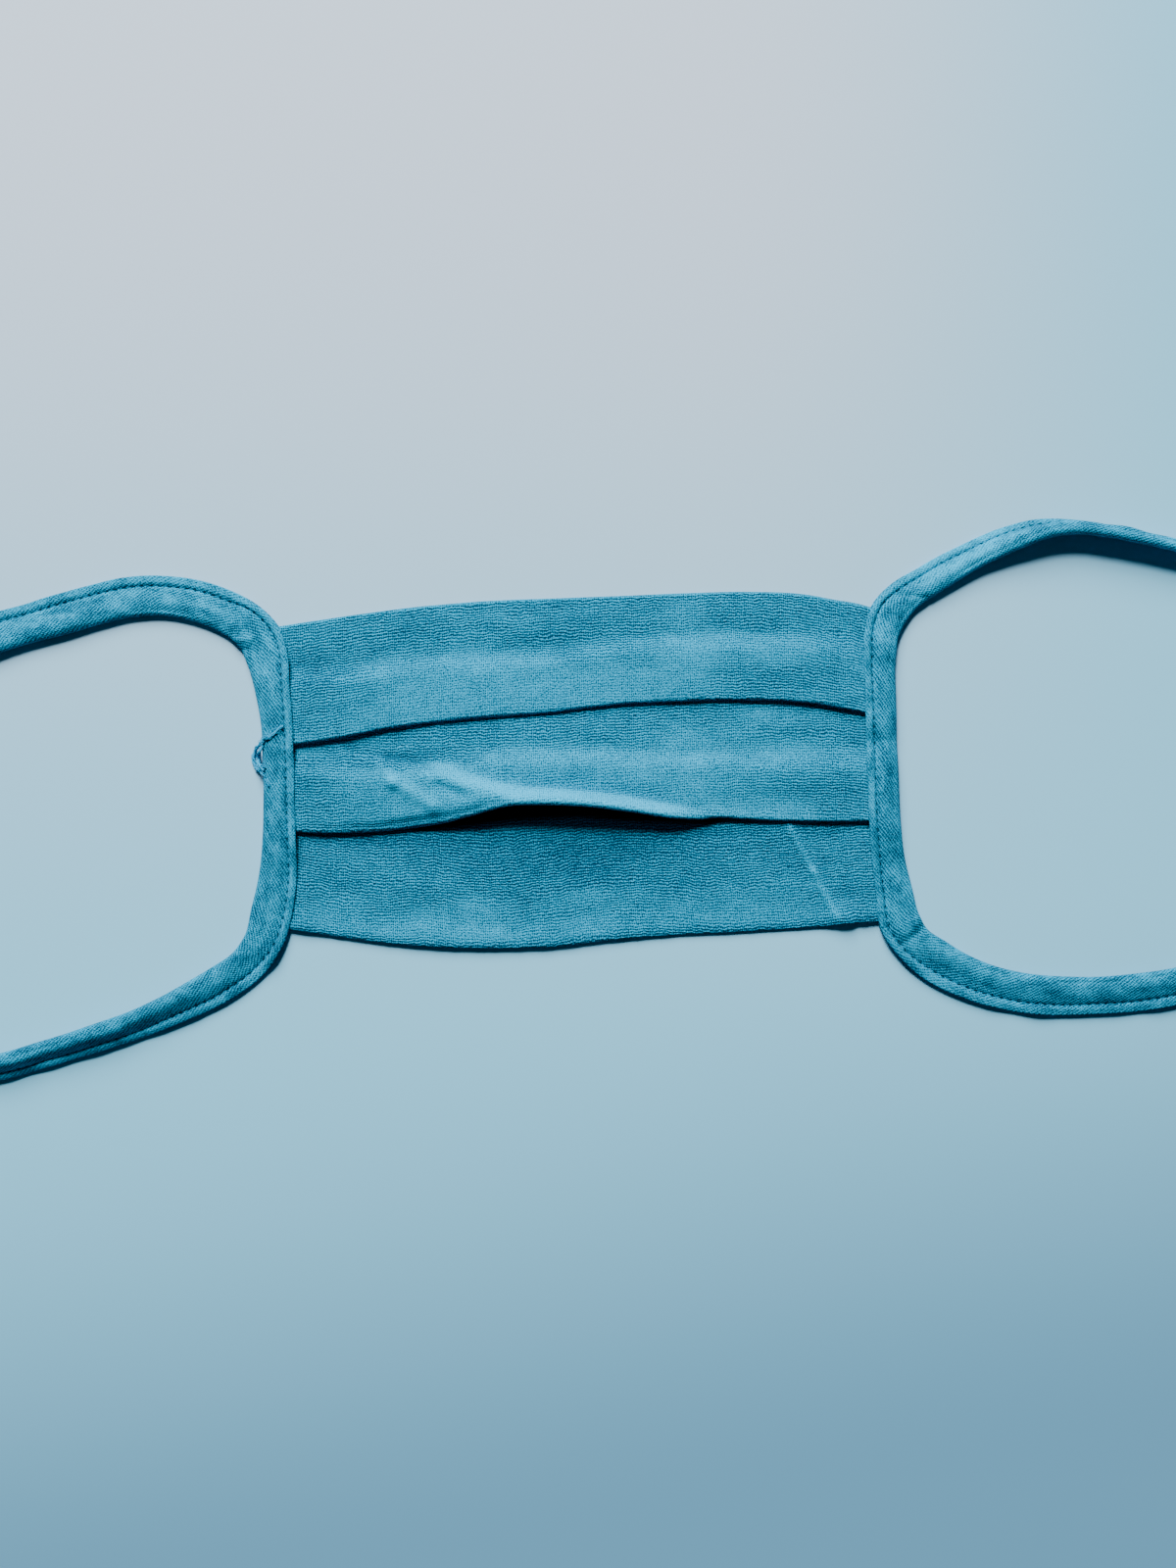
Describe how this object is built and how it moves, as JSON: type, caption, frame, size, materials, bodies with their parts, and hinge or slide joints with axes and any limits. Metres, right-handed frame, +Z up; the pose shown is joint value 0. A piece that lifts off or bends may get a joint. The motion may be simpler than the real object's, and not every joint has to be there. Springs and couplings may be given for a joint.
{
  "type": "linen face mask",
  "caption": "Pleated linen face mask lying flat, outer side up, its side edges bound in folded bias tape that runs on as closed ear loops.",
  "frame": {"origin": "on the surface that the mask lies on, under the centre of its box", "axes": "+X along the mask from the left ear loop to the right one as seen from above, +Y towards the panel's upper edge, +Z up, out of the mask's outer side"},
  "size_m": [0.4736, 0.1678, 0.0105],
  "materials": {
    "panel_linen": "matt crinkled sky-blue linen, plain weave with wavy crosswise threads",
    "tape_linen": "matt sky-blue linen cut on the bias, with slanting threads and a line of edge stitching"
  },
  "bodies": {
    "root": {"pleated_panel": "panel_linen", "left_ear_loop": "tape_linen", "right_ear_loop": "tape_linen"}
  },
  "joints": []
}
